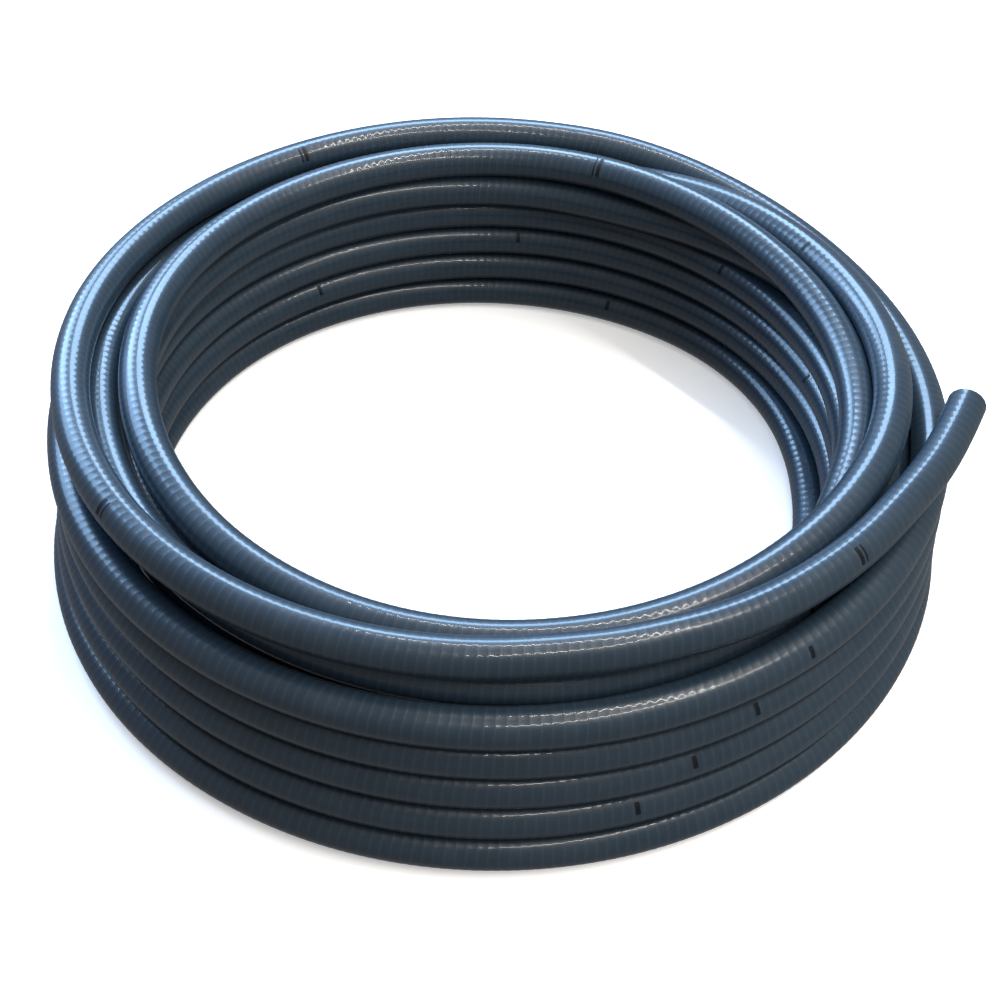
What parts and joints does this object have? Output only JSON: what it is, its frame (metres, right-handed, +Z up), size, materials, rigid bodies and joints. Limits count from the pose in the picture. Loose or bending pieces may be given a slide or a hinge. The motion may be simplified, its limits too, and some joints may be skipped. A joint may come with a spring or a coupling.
{
  "type": "coiled sewer drain hose",
  "caption": "Coil of smooth, helix-reinforced flexible PVC drain hose for a caravan or motorhome, lying flat, with one plain cut end crossing over the top turns.",
  "frame": {"origin": "on the floor, under the axis of the coil", "axes": "+Z up along the coil's axis, the coil's shortest side; -Y is the front, and the free cut end lies towards +X"},
  "size_m": [0.8485, 0.8422, 0.216],
  "materials": {
    "hose_cover": "smooth satin flexible PVC, blue-grey",
    "hose_helix": "rigid PVC, paler blue-grey",
    "hose_liner": "smooth flexible PVC, blue-grey"
  },
  "bodies": {
    "root": {"hose_coil": "hose_cover", "free_end_cover": "hose_cover", "free_end_helix": "hose_helix", "free_end_liner": "hose_liner", "tucked_end_cover": "hose_cover", "tucked_end_helix": "hose_helix", "tucked_end_liner": "hose_liner"}
  },
  "joints": []
}
